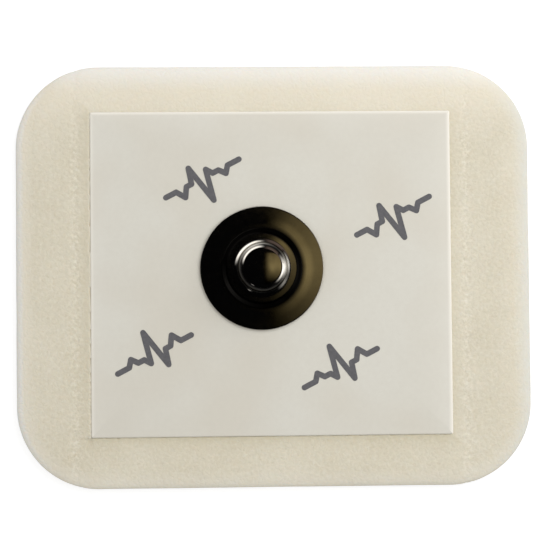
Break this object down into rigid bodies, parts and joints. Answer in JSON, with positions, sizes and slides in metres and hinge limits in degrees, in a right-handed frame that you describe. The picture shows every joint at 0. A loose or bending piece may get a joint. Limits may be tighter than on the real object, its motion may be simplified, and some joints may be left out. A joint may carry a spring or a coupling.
{
  "type": "ecg electrode",
  "caption": "Rounded foam pad electrode with a square-cut film label, a metal snap stud for a lead clip, and a round gel disc and adhesive on the skin side.",
  "frame": {"origin": "on the skin face, under the centre of the pad's outline", "axes": "+Z from the skin up to the snap, +X along the pad's long side, +Y towards the picture's top"},
  "size_m": [0.04, 0.0328, 0.0054],
  "materials": {
    "foam": "cream closed-cell foam with a fine cell texture",
    "adhesive": "clear tacky skin adhesive",
    "label_film": "pale satin film with a few small grey printed marks",
    "snap_metal": "bright plated metal",
    "sensor_coating": "silver and silver chloride coat on moulded plastic",
    "gel": "clear wet gel"
  },
  "bodies": {
    "root": {"foam_backing": "foam", "skin_adhesive": "adhesive", "top_label": "label_film", "snap_stud": "snap_metal", "sensor_eyelet": "sensor_coating", "gel_pad": "gel"}
  },
  "joints": []
}
